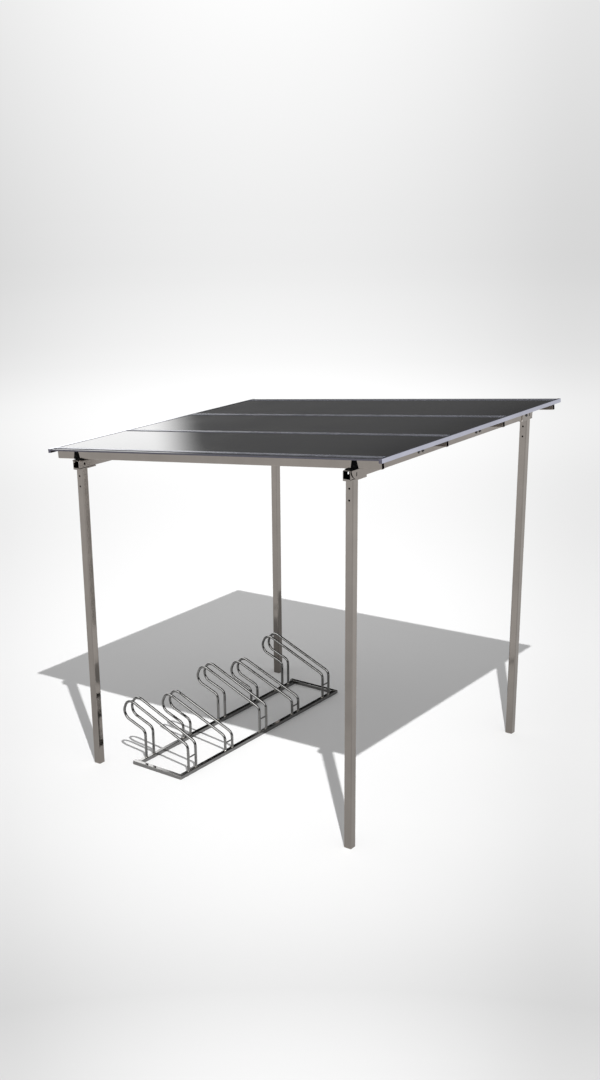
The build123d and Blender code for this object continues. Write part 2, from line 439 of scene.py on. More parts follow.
@dataclass(frozen=True)
class PostSteel(DrawnSteel):
    """Drawn steel for the posts, with painted shade: darker towards the ground, and dark on the inside of the
    tube.

    Attributes:
        foot_shade: The share of the painted shade at the ground.
        foot_shade_top: The height at which none of it is left.
        foot_shade_colour: The colour of the painted shade towards the ground.
        bore: Half the width of what counts as the inside of the tube.
        bore_shade_colour: The painted shade in there.
    """

    foot_shade: float = 0.46
    foot_shade_top: float = 2.0
    foot_shade_colour: Colour = (0.06, 0.055, 0.05)
    bore: float = 0.0226
    bore_shade_colour: Colour = (0.03, 0.03, 0.03)

    def shade(self, graph: NodeGraph, tint: bpy.types.NodeSocket) -> bpy.types.NodeSocket:
        """Paints shade on the posts: darker towards the foot, and dark on their inner walls.

        Args:
            graph: The material's graph.
            tint: The socket of the metal's colour.

        Returns:
            The socket of the colour to use.
        """
        across, along, up = graph.parts(graph.placed())
        # painted shade: the metal is painted darker towards the ground
        foot_shaded = graph.spread(up, self.foot_shade, 0.0, 0.0, self.foot_shade_top)
        dulled = graph.blend(foot_shaded, tint, self.foot_shade_colour)
        off_x = graph.distance(graph.math("ABSOLUTE", across), LAYOUT.post_x)
        off_y = graph.distance(graph.distance(along, LAYOUT.middle_y), LAYOUT.post_y)
        # painted shade: the tube's inner walls are painted dark
        inside = graph.math("LESS_THAN", graph.math("MAXIMUM", off_x, off_y), self.bore)
        return graph.blend(inside, dulled, self.bore_shade_colour)


@dataclass(frozen=True)
class PlateSteel(DrawnSteel):
    """Drawn steel plate for the brackets; the cheek has painted shade on its cut edges and a painted
    highlight on its inner end.

    Attributes:
        proud: How far outside the header's face the cheek counts as such.
        end_inset: How far from the inner end the painted shade on the cut edges begins.
        end_highlight_colour: The painted highlight on the inner end.
        cut_shade_colour: The painted shade on the other cut edges and on the slot's walls.
    """

    proud: float = 0.0002
    end_inset: float = 0.0015
    end_highlight_colour: Colour = (0.8, 0.74, 0.68)
    cut_shade_colour: Colour = (0.035, 0.033, 0.03)

    def shade(self, graph: NodeGraph, tint: bpy.types.NodeSocket) -> bpy.types.NodeSocket:
        """Paints shade on the cheek's outer edges and the walls of its slot, and a highlight on its inner
        end.

        Args:
            graph: The material's graph.
            tint: The socket of the metal's colour.

        Returns:
            The socket of the colour to use.
        """
        across, along, _up = graph.parts(graph.placed())
        _turned_x, turned_y, _turned_z = graph.parts(graph.add("TexCoord").outputs["Normal"])
        edge = graph.math("LESS_THAN", graph.math("ABSOLUTE", turned_y), FACES_THAT_WAY)
        out = graph.distance(along, LAYOUT.middle_y)
        # painted shade on the cut edges and slot walls, painted highlight on the inner end
        cut = graph.math("MULTIPLY", edge, graph.math("GREATER_THAN", out, LAYOUT.header_face + self.proud))
        beyond = graph.math("GREATER_THAN", graph.math("ABSOLUTE", across),
                            LAYOUT.bracket_end + self.end_inset)
        return graph.blend(cut, tint, graph.blend(beyond, self.end_highlight_colour, self.cut_shade_colour))


@dataclass(frozen=True)
class AnodisedAluminium(Finish):
    """Extruded aluminium with a satin anodised skin and die lines along its length.

    Attributes:
        run: The direction that the length runs in.
        metal: How metallic it is; the skin is clear at 1 and milky below.
        lines: How far the lines raise and lower the roughness.
        worn: The share of the colour that is left where the sheen is weakest.
        line_scales: The die lines' scales, along the length and across it.
        line: The lines' fineness.
        sheen: The fineness of the uneven sheen.
        skin: The fineness of the skin's grain.
        skin_height: The grain's height, beside the lines'.
        gloss: The shares of the roughness at the ends of the sheen.
        relief: The bump of lines and grain.
    """

    run: Run = Run.SLOPE
    metal: float = 1.0
    lines: float = 0.08
    worn: float = 0.86
    line_scales: Pair = (1.0, 700.0)
    line: Grain = Grain()
    sheen: Grain = Grain(5.0, 4.0)
    skin: Grain = Grain(2500.0, 1.0)
    skin_height: float = 0.5
    gloss: Pair = (0.85, 1.15)
    relief: Relief = Relief(0.04, 0.0003)

    def lay(self, graph: NodeGraph, surface: bpy.types.Node) -> None:
        """Lays die lines and a soft uneven sheen over the metal.

        Args:
            graph: The material's graph.
            surface: Its surface shader.
        """
        lines = graph.noise(graph.placed(self.run.stretch(*self.line_scales), self.run.tilt), self.line)
        sheen = graph.noise(graph.placed(), self.sheen)
        skin = graph.noise(graph.placed(), self.skin)
        tint = graph.blend(graph.spread(sheen, 0.0, 1.0, *NOISE_SPAN), self.toned(self.worn), self.colour)
        smooth, dull = (self.roughness * share for share in self.gloss)
        rough = graph.math("MULTIPLY_ADD", graph.spread(lines, -0.5, 0.5, *NOISE_SPAN), self.lines,
                           graph.spread(sheen, smooth, dull, *NOISE_SPAN))
        height = graph.math("ADD", lines, graph.math("MULTIPLY", skin, self.skin_height))
        surface.inputs["Metallic"].default_value = self.metal
        graph.cover(surface, tint, rough, height, self.relief)


@dataclass(frozen=True)
class SmokedSheet(Finish):
    """Dark glossy hollow sheet: flutes run down the slope, under a thin film of dust.

    Attributes:
        flute: From one flute to the next.
        flute_tone: The share of the colour that is left between two flutes.
        flute_show: How much of that tone shows.
        flute_height: The flutes' height, beside the sheet's waves.
        wave: The fineness of the waves.
        dust: The fineness of the dust.
        dust_span: The strengths of dust between which the film forms.
        run_scales: The scales of the runs that rain leaves down the slope.
        runs: Their fineness.
        least_runs: How strong the film is between two runs.
        film_show: How much of the film's colour shows.
        film_dulling: How much the film adds to the roughness.
        film_colour: The film's colour.
        fleck: The fineness of the flecks.
        fleck_span: The strengths between which a fleck shows up.
        fleck_show: How much of a fleck's colour shows.
        fleck_colour: The flecks' colour.
        edge: The colour of the sheets' side edges.
        bend: The sheet's index of refraction.
        relief: The bump of flutes and waves.
    """

    flute: float = 0.011
    flute_tone: float = 0.7
    flute_show: float = 0.35
    flute_height: float = 0.25
    wave: Grain = Grain(9.0, 1.0)
    dust: Grain = Grain(2.2, 6.0, 0.65)
    dust_span: Pair = (0.35, 0.75)
    run_scales: tuple[float, float, float] = (30.0, 1.3, 30.0)
    runs: Grain = Grain(1.0, 4.0, 0.6)
    least_runs: float = 0.4
    film_show: float = 0.16
    film_dulling: float = 0.06
    film_colour: Colour = (0.11, 0.105, 0.09)
    fleck: Grain = Grain(420.0, 2.0)
    fleck_span: Pair = (0.66, 0.78)
    fleck_show: float = 0.25
    fleck_colour: Colour = (0.1, 0.095, 0.085)
    edge: Colour = (0.08, 0.078, 0.1)
    bend: float = 1.45
    relief: Relief = Relief(0.03, 0.001)

    def film(self, graph: NodeGraph, place: bpy.types.NodeSocket) -> bpy.types.NodeSocket:
        """Makes the film of dust, washed into runs.

        Args:
            graph: The material's graph.
            place: The places that the dust is read at.

        Returns:
            The socket of the film's strength.
        """
        dust = graph.noise(place, self.dust)
        runs = graph.noise(graph.placed(self.run_scales, Run.SLOPE.tilt), self.runs)
        return graph.math("MULTIPLY", graph.spread(dust, 0.0, 1.0, *self.dust_span),
                          graph.spread(runs, self.least_runs, 1.0, *NOISE_SPAN))

    def lay(self, graph: NodeGraph, surface: bpy.types.Node) -> None:
        """Lays the flutes' faint bands, the film and flecks of dirt over the sheet.

        Args:
            graph: The material's graph.
            surface: Its surface shader.
        """
        level = graph.placed(tilt=Run.SLOPE.tilt)
        bands = graph.wave(level, "X", self.flute)
        film = self.film(graph, level)
        banded = graph.blend(graph.math("MULTIPLY", bands, self.flute_show), self.colour,
                             self.toned(self.flute_tone))
        dusty = graph.blend(graph.math("MULTIPLY", film, self.film_show), banded, self.film_colour)
        flecks = graph.spread(graph.noise(level, self.fleck), 0.0, self.fleck_show, *self.fleck_span)
        speckled = graph.blend(flecks, dusty, self.fleck_colour)
        turned_x = graph.parts(graph.add("TexCoord").outputs["Normal"])[0]
        sawn = graph.math("GREATER_THAN", graph.math("ABSOLUTE", turned_x), FACES_THAT_WAY)
        rough = graph.math("MULTIPLY_ADD", film, self.film_dulling, self.roughness)
        wavy = graph.math("ADD", graph.math("MULTIPLY", bands, self.flute_height),
                          graph.noise(level, self.wave))
        surface.inputs["IOR"].default_value = self.bend
        graph.cover(surface, graph.blend(sawn, speckled, self.edge), rough, wavy, self.relief)


@dataclass(frozen=True)
class BlackCoat(Finish):
    """Black powder coat with its orange-peel skin and paler rubbed spots.

    Attributes:
        peel: The fineness of the skin's dimples.
        rub: The fineness of the rubbed spots.
        rub_span: The strengths between which a spot shows up.
        rub_tone: How many times paler a rubbed spot is.
        rub_show: How much of that tone shows at most.
        gloss: The shares of the roughness at the ends of the rubbing.
        specular: The level of the coat's reflection.
        relief: The bump of the dimples.
    """

    peel: Grain = Grain(900.0, 2.0)
    rub: Grain = Grain(60.0, 5.0, 0.7)
    rub_span: Pair = (0.55, 0.75)
    rub_tone: float = 3.0
    rub_show: float = 0.5
    gloss: Pair = (0.8, 1.25)
    specular: float = 0.05
    relief: Relief = Relief(0.25, 0.0004)

    def lay(self, graph: NodeGraph, surface: bpy.types.Node) -> None:
        """Lays the skin's dimples and rubbed spots.

        Args:
            graph: The material's graph.
            surface: Its surface shader.
        """
        place = graph.placed()
        peel = graph.noise(place, self.peel)
        rubbed = graph.noise(place, self.rub)
        tint = graph.blend(graph.spread(rubbed, 0.0, self.rub_show, *self.rub_span), self.colour,
                           self.toned(self.rub_tone))
        smooth, dull = (self.roughness * share for share in self.gloss)
        surface.inputs["Specular IOR Level"].default_value = self.specular
        graph.cover(surface, tint, graph.spread(rubbed, smooth, dull, *NOISE_SPAN), peel, self.relief)


@dataclass(frozen=True)
class BlackRubber(Finish):
    """Matt black sealing rubber with a greyish bloom.

    Attributes:
        bloom: The fineness of the bloom.
        bloom_span: The strengths between which it shows up.
        bloom_show: How much of its colour shows at most.
        bloom_colour: Its colour.
        grain: The fineness of the moulded grain.
        gloss: The shares of the roughness at the ends of the bloom.
        relief: The bump of the grain.
    """

    bloom: Grain = Grain(12.0, 6.0, 0.7)
    bloom_span: Pair = (0.4, 0.8)
    bloom_show: float = 0.6
    bloom_colour: Colour = (0.06, 0.06, 0.058)
    grain: Grain = Grain(1500.0, 2.0)
    gloss: Pair = (0.9, 1.2)
    relief: Relief = Relief(0.2, 0.0003)

    def lay(self, graph: NodeGraph, surface: bpy.types.Node) -> None:
        """Lays the bloom and a fine moulded grain.

        Args:
            graph: The material's graph.
            surface: Its surface shader.
        """
        place = graph.placed()
        bloom = graph.noise(place, self.bloom)
        grain = graph.noise(place, self.grain)
        tint = graph.blend(graph.spread(bloom, 0.0, self.bloom_show, *self.bloom_span), self.colour,
                           self.bloom_colour)
        smooth, dull = (self.roughness * share for share in self.gloss)
        graph.cover(surface, tint, graph.spread(bloom, smooth, dull, *NOISE_SPAN), grain, self.relief)


@dataclass(frozen=True)
class WeldedSteel(Finish):
    """A cleaned weld bead: even ripples, slightly darker and duller than the bar beside it.

    Attributes:
        ripple: From one ripple to the next.
        ripple_bend: How uneven the ripples are.
        heat: The fineness of the heat tints.
        heat_span: The strengths between which a tint shows up.
        heat_tone: The shares of red, green and blue that are left where a tint is full.
        heat_show: How much of that tone shows at most.
        gloss: The shares of the roughness at the ends of a ripple.
        relief: The bump of the ripples.
    """

    ripple: float = 0.0016
    ripple_bend: float = 3.0
    heat: Grain = Grain(90.0, 3.0)
    heat_span: Pair = (0.4, 0.7)
    heat_tone: tuple[float, float, float] = (0.7, 0.6, 0.5)
    heat_show: float = 0.6
    gloss: Pair = (0.8, 1.3)
    relief: Relief = Relief(0.5, 0.0006)

    def lay(self, graph: NodeGraph, surface: bpy.types.Node) -> None:
        """Lays ripples and heat tints over the bead.

        Args:
            graph: The material's graph.
            surface: Its surface shader.
        """
        place = graph.placed()
        ripples = graph.wave(place, "DIAGONAL", self.ripple, self.ripple_bend)
        heat = graph.noise(place, self.heat)
        tint = graph.blend(graph.spread(heat, 0.0, self.heat_show, *self.heat_span), self.colour,
                           self.toned(*self.heat_tone))
        smooth, dull = (self.roughness * share for share in self.gloss)
        surface.inputs["Metallic"].default_value = 1.0
        graph.cover(surface, tint, graph.spread(ripples, smooth, dull), ripples, self.relief)


@dataclass(frozen=True)
class ZincPlate(Finish):
    """Bright zinc-plated fasteners with a fine uneven skin.

    Attributes:
        skin: The fineness of the plating's spangle.
        skin_span: The strengths between which the spangle darkens.
        skin_tone: The share of the colour that is left where the spangle is strong.
        gloss: The shares of the roughness at the ends of the spangle.
        relief: The bump of the skin.
    """

    skin: Grain = Grain(350.0, 4.0, 0.6)
    skin_span: Pair = (0.35, 0.7)
    skin_tone: float = 0.72
    gloss: Pair = (0.7, 1.4)
    relief: Relief = Relief(0.12, 0.0002)

    def lay(self, graph: NodeGraph, surface: bpy.types.Node) -> None:
        """Lays the plating's spangle and small scuffs.

        Args:
            graph: The material's graph.
            surface: Its surface shader.
        """
        skin = graph.noise(graph.placed(), self.skin)
        tint = graph.blend(graph.spread(skin, 0.0, 1.0, *self.skin_span), self.colour,
                           self.toned(self.skin_tone))
        smooth, dull = (self.roughness * share for share in self.gloss)
        surface.inputs["Metallic"].default_value = 1.0
        graph.cover(surface, tint, graph.spread(skin, smooth, dull, *NOISE_SPAN), skin, self.relief)


def dress(node: bpy.types.Object, material: bpy.types.Material) -> None:
    """Gives a CAD node one material in place of its plain ones.

    Args:
        node: The node's object.
        material: Its new material.
    """
    node.data.materials.clear()
    node.data.materials.append(material)
    LOG.info("finished %s in %s", node.name, material.name)


def add_piece(name: str, mesh: bmesh.types.BMesh, material: bpy.types.Material,
              smooth_below: float = SMOOTH_BELOW) -> bpy.types.Object:
    """Turns a finished bmesh into a piece of the shelter.

    Args:
        name: The piece's name.
        mesh: The mesh, in its final place; it is freed here.
        material: The piece's material.
        smooth_below: Edges sharper than this stay sharp, in degrees.

    Returns:
        The piece, riding on the root body.
    """
    bmesh.ops.recalc_face_normals(mesh, faces=mesh.faces)
    for face in mesh.faces:
        face.smooth = True
    for edge in mesh.edges:
        edge.smooth = len(edge.link_faces) == 2 and edge.calc_face_angle(0.0) < math.radians(smooth_below)
    data = bpy.data.meshes.new(name)
    mesh.to_mesh(data)
    mesh.free()
    data.materials.append(material)
    piece = bpy.data.objects.new(name, data)
    bpy.context.scene.collection.objects.link(piece)
    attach(piece, "root")
    LOG.info("made %s: %d faces", name, len(data.polygons))
    return piece


def facing(direction: Vector, place: Vector) -> Matrix:
    """A transform that stands a shape made along +Z at a place, along a direction."""
    return Matrix.Translation(place) @ direction.to_track_quat("Z", "Y").to_matrix().to_4x4()


def edges_of(verts: list[bmesh.types.BMVert]) -> list[bmesh.types.BMEdge]:
    """Lists the edges at some vertices, once each and in the same order each run, as a set would not."""
    return list(dict.fromkeys(edge for vert in verts for edge in vert.link_edges))


def ease(mesh: bmesh.types.BMesh, verts: list[bmesh.types.BMVert], offset: float, steps: int) -> None:
    """Bevels the sharp edges of a small solid.

    Args:
        mesh: The mesh that it is in.
        verts: The solid's vertices.
        offset: The bevel's width.
        steps: The faces across it.
    """
    sharp = [edge for edge in edges_of(verts) if edge.calc_face_angle(0.0) > EASED_ABOVE]
    bmesh.ops.bevel(mesh, geom=sharp, offset=offset, segments=steps, profile=0.5, affect="EDGES",
                    material=-1)


@dataclass(frozen=True)
class HexFastener:
    """A hexagon head on a round washer or flange.

    Attributes:
        across_flats: The head's width.
        head_height: Its height.
        washer_radius: The washer's radius.
        washer_thickness: Its thickness.
        washer_sides: The faces round it.
        head_easing: The bevel on the head's edges, as a share of its height.
        washer_easing: The bevel on the washer's edges, as a share of its thickness.
    """

    across_flats: float = 0.013
    head_height: float = 0.0053
    washer_radius: float = 0.008
    washer_thickness: float = 0.0016
    washer_sides: int = 28
    head_easing: float = 0.14
    washer_easing: float = 0.25

    def stand(self, mesh: bmesh.types.BMesh, place: Vector, outward: Vector) -> None:
        """Adds the fastener to a mesh.

        Args:
            mesh: The mesh to add to.
            place: The middle of the washer's seat.
            outward: The direction that the head stands in.
        """
        seat = facing(outward, place)
        washer = bmesh.ops.create_cone(
            mesh, cap_ends=True, segments=self.washer_sides, radius1=self.washer_radius,
            radius2=self.washer_radius, depth=self.washer_thickness,
            matrix=seat @ Matrix.Translation((0, 0, self.washer_thickness / 2)))
        ease(mesh, washer["verts"], self.washer_thickness * self.washer_easing, 1)
        middle = self.washer_thickness + self.head_height / 2
        radius = self.across_flats / math.sqrt(3.0)
        head = bmesh.ops.create_cone(
            mesh, cap_ends=True, segments=6, radius1=radius, radius2=radius,
            depth=self.head_height, matrix=seat @ Matrix.Translation((0, 0, middle)))
        ease(mesh, head["verts"], self.head_height * self.head_easing, 2)


@dataclass(frozen=True)
class WeldBead:
    """A fillet of weld metal, round a bar's foot or along a corner.

    Attributes:
        size: The bead's radius.
        ring_sides: The faces round the bead itself, where it goes round a bar.
        ring_steps: The faces along such a ring.
        seam_sides: The faces round the bead of a straight seam.
        seam_easing: The bevel on a seam's ends, as a share of its size.
    """

    size: float
    ring_sides: int = 8
    ring_steps: int = 22
    seam_sides: int = 10
    seam_easing: float = 0.45

    def ring(self, mesh: bmesh.types.BMesh, place: Vector, axis: Vector, bar_radius: float) -> None:
        """Adds a bead round a bar.

        Args:
            mesh: The mesh to add to.
            place: The middle of the joint.
            axis: The bar's direction.
            bar_radius: The bar's radius.
        """
        seat = facing(axis, place)
        upright = Matrix.Translation((bar_radius, 0, 0)) @ Matrix.Rotation(math.pi / 2, 4, "X")
        start = bmesh.ops.create_circle(mesh, segments=self.ring_sides, radius=self.size,
                                        matrix=seat @ upright)
        bmesh.ops.spin(mesh, geom=start["verts"] + edges_of(start["verts"]), cent=place, axis=axis,
                       angle=math.tau, steps=self.ring_steps, use_merge=True)

    def seam(self, mesh: bmesh.types.BMesh, start: Vector, end: Vector) -> None:
        """Adds a bead along a straight joint, with eased ends.

        Args:
            mesh: The mesh to add to.
            start: One end of the joint.
            end: The other end.
        """
        run = end - start
        bead = bmesh.ops.create_cone(
            mesh, cap_ends=True, segments=self.seam_sides, radius1=self.size, radius2=self.size,
            depth=run.length, matrix=facing(run.normalized(), (start + end) / 2))
        ease(mesh, bead["verts"], self.size * self.seam_easing, 2)


@dataclass
class FrameDressing:
    """The posts, headers and brackets, with the bolts and welds that hold them together.

    Attributes:
        upright: The posts' finish.
        across: The headers' finish.
        plate: The brackets' finish.
        zinc: The finish of the bolts on the headers.
        dark_zinc: The finish of the bolts on the brackets.
        weld_metal: The welds' finish.
        bolt: The bolts' shape.
        bead: The welds' shape.
        bead_inset: From a post's corner to the end of its bead.
        pair_spacing: Between the two bolts of a pair.
        bracket_bolt_inset: From the outer end of a bracket to its bolt.
    """

    upright: Finish = PostSteel("frame_steel_upright", FRAME_METAL, 0.09, Run.UP)
    across: Finish = DrawnSteel("frame_steel_across", HEADER_METAL, 0.09, Run.ACROSS)
    plate: Finish = PlateSteel("bracket_plate", HEADER_METAL, 0.12, Run.ACROSS)
    zinc: Finish = ZincPlate("bolt_zinc", (0.3, 0.29, 0.28), 0.3)
    dark_zinc: Finish = ZincPlate("bolt_dark", (0.2, 0.2, 0.2), 0.4)
    weld_metal: Finish = WeldedSteel("weld_metal", (0.25, 0.23, 0.21), 0.3)
    bolt: HexFastener = HexFastener()
    bead: WeldBead = WeldBead(0.0022)
    bead_inset: float = 0.003
    pair_spacing: float = 0.044
    bracket_bolt_inset: float = 0.0925

    def finish_nodes(self) -> None:
        """Puts the drawn steel on the CAD pieces."""
        made = {"post": self.upright.make(), "header": self.across.make(), "bracket": self.plate.make()}
        for name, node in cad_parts.items():
            stem = name.split("_")[0]
            if stem in made:
                dress(node, made[stem])

    def bolt_header(self, end: str, outward: Vector) -> None:
        """Makes the bolt pairs on one header's outer face, under the inner rafters.

        Args:
            end: The header's end of the shelter, front or back.
            outward: The direction that the header's outer face looks in.
        """
        low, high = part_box(f"header_{end}")
        face_y = low.y if outward.y < 0 else high.y
        middle_z = (low.z + high.z) / 2
        mesh = bmesh.new()
        for rafter in ("centre_left", "centre_right"):
            rafter_low, rafter_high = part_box(f"rafter_{rafter}")
            middle_x = (rafter_low.x + rafter_high.x) / 2
            for side in (-0.5, 0.5):
                place = Vector((middle_x + side * self.pair_spacing, face_y, middle_z))
                self.bolt.stand(mesh, place, outward)
        add_piece(f"header_bolts_{end}", mesh, self.zinc.make())

    def bolt_bracket(self, end: str, outward: Vector) -> None:
        """Makes the dark bolt on the right bracket's outer cheek.

        Args:
            end: The bracket's end of the shelter, front or back.
            outward: The direction that the cheek looks in.
        """
        low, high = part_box(f"bracket_{end}_right")
        header_low, header_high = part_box(f"header_{end}")
        cheek_y = low.y if outward.y < 0 else high.y
        place = Vector((high.x - self.bracket_bolt_inset, cheek_y, (header_low.z + header_high.z) / 2))
        mesh = bmesh.new()
        self.bolt.stand(mesh, place, outward)
        add_piece(f"bracket_bolt_{end}", mesh, self.dark_zinc.make())

    def weld_posts(self) -> None:
        """Makes the beads on two sides of each post's top, under the plate on it."""
        mesh = bmesh.new()
        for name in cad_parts:
            if not name.startswith("post_"):
                continue
            low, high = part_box(name)
            for x in (low.x, high.x):
                self.bead.seam(mesh, Vector((x, low.y + self.bead_inset, high.z)),
                               Vector((x, high.y - self.bead_inset, high.z)))
        add_piece("post_welds", mesh, self.weld_metal.make(), WELD_SMOOTH_BELOW)

    def build(self) -> None:
        """Dresses the frame from its finishes to its welds."""
        self.finish_nodes()
        for end, outward in (("front", Vector((0, -1, 0))), ("back", Vector((0, 1, 0)))):
            self.bolt_header(end, outward)
            self.bolt_bracket(end, outward)
        self.weld_posts()


@dataclass
class RoofDressing:
    """The rafters, cleats, sheets, glazing bars and edging, with the cleats' screws and the edging's caps.

    Attributes:
        rafter: The rafters' finish.
        bar: The glazing bars' finish.
        channel: The edging's finish.
        sheet: The roof sheets' finish.
        rubber: The finish of all seals.
        coat: The cleats' finish.
        screw_coat: The screws' finish.
        screw: The screws' shape.
        cleat_plate: The thickness of a cleat's upright plate.
        cleat_flange: The thickness of its flange.
        plate_screw_inset: From a cleat's outer end to the screw in its plate.
        plate_screw_rise: From the header's top to that screw.
        flange_screw_out: From the plate to the screw in the flange.
        cap_coat: The caps' finish.
        cap: A cap's thickness, depth and height.
        cap_easing: The bevel on a cap's edges, as a share of its thickness.
    """

    rafter: Finish = DrawnSteel("rafter_steel", FRAME_METAL, 0.09, Run.SLOPE)
    bar: Finish = AnodisedAluminium("bar_aluminium", BAR_METAL, 0.28, Run.SLOPE, metal=0.45)
    channel: Finish = AnodisedAluminium("edging_aluminium", EDGING_METAL, 0.12, Run.ACROSS)
    sheet: Finish = SmokedSheet("smoked_sheet", (0.028, 0.028, 0.030), 0.07)
    rubber: Finish = BlackRubber("seal_rubber", (0.012, 0.012, 0.012), 0.65)
    coat: Finish = BlackCoat("cleat_coat", (0.003, 0.003, 0.003), 0.7)
    screw_coat: Finish = BlackCoat("screw_coat", (0.012, 0.012, 0.012), 0.3)
    screw: HexFastener = HexFastener(0.008, 0.0042, 0.0068, 0.0012)
    cleat_plate: float = 0.004
    cleat_flange: float = 0.003
    plate_screw_inset: float = 0.024
    plate_screw_rise: float = 0.022
    flange_screw_out: float = 0.008
    cap_coat: Finish = AnodisedAluminium("cap_aluminium", (0.13, 0.125, 0.165), 0.4, Run.UP, metal=0.6)
    cap: tuple[float, float, float] = (0.0012, 0.0198, 0.0238)
    cap_easing: float = 0.3

    def finish_nodes(self) -> None:
        """Puts the roof's finishes on the CAD pieces."""
        finishes = {"rafter_seals": self.rubber, "bar_seals": self.rubber, "edging_seal": self.rubber,
                    "rafter": self.rafter, "glazing_bar": self.bar, "edging": self.channel,
                    "roof_sheet": self.sheet, "cleat": self.coat}
        made = {finish.name: finish.make() for finish in finishes.values()}
        for name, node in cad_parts.items():
            stem = next((stem for stem in finishes if name.startswith(stem)), None)
            if stem:
                dress(node, made[finishes[stem].name])

    def screw_cleats(self) -> None:
        """Makes one screw through each cleat's upright plate and one through its flange."""
        mesh = bmesh.new()
        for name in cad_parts:
            if not name.startswith("cleat_"):
                continue
            _cleat, end, rafter = name.split("_", 2)
            low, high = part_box(name)
            rafter_low, rafter_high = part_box(f"rafter_{rafter}")
            header_low, header_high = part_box(f"header_{end}")
            plate_is_left = abs(low.x - rafter_low.x) > abs(high.x - rafter_high.x)
            outward, rafter_x = (-1.0, rafter_low.x) if plate_is_left else (1.0, rafter_high.x)
            plate_x = rafter_x + outward * self.cleat_plate
            plate_y = low.y + self.plate_screw_inset if end == "front" else high.y - self.plate_screw_inset
            self.screw.stand(mesh, Vector((plate_x, plate_y, header_high.z + self.plate_screw_rise)),
                             Vector((outward, 0, 0)))
            flange_x = plate_x + outward * self.flange_screw_out
            flange_y = (header_low.y + header_high.y) / 2
            self.screw.stand(mesh, Vector((flange_x, flange_y, header_high.z + self.cleat_flange)),
                             Vector((0, 0, 1)))
        add_piece("cleat_screws", mesh, self.screw_coat.make())

    def cap_edging(self) -> None:
        """Makes a thin cap on each end of the two channels."""
        mesh = bmesh.new()
        thickness, depth, height = self.cap
        for end in ("front", "back"):
            low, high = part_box(f"edging_{end}")
            for x, outward in ((low.x, -1.0), (high.x, 1.0)):
                middle = Vector((x + outward * thickness / 2, (low.y + high.y) / 2, (low.z + high.z) / 2))
                seat = Matrix.Translation(middle) @ Matrix.Rotation(-Run.SLOPE.tilt, 4, "X")
                plate = bmesh.ops.create_cube(mesh, size=1.0, matrix=seat @ Matrix.Diagonal(
                    (thickness, depth, height, 1.0)))
                ease(mesh, plate["verts"], thickness * self.cap_easing, 2)
        add_piece("edging_caps", mesh, self.cap_coat.make())

    def build(self) -> None:
        """Dresses the roof from its finishes to its screws and caps."""
        self.finish_nodes()
        self.screw_cleats()
        self.cap_edging()


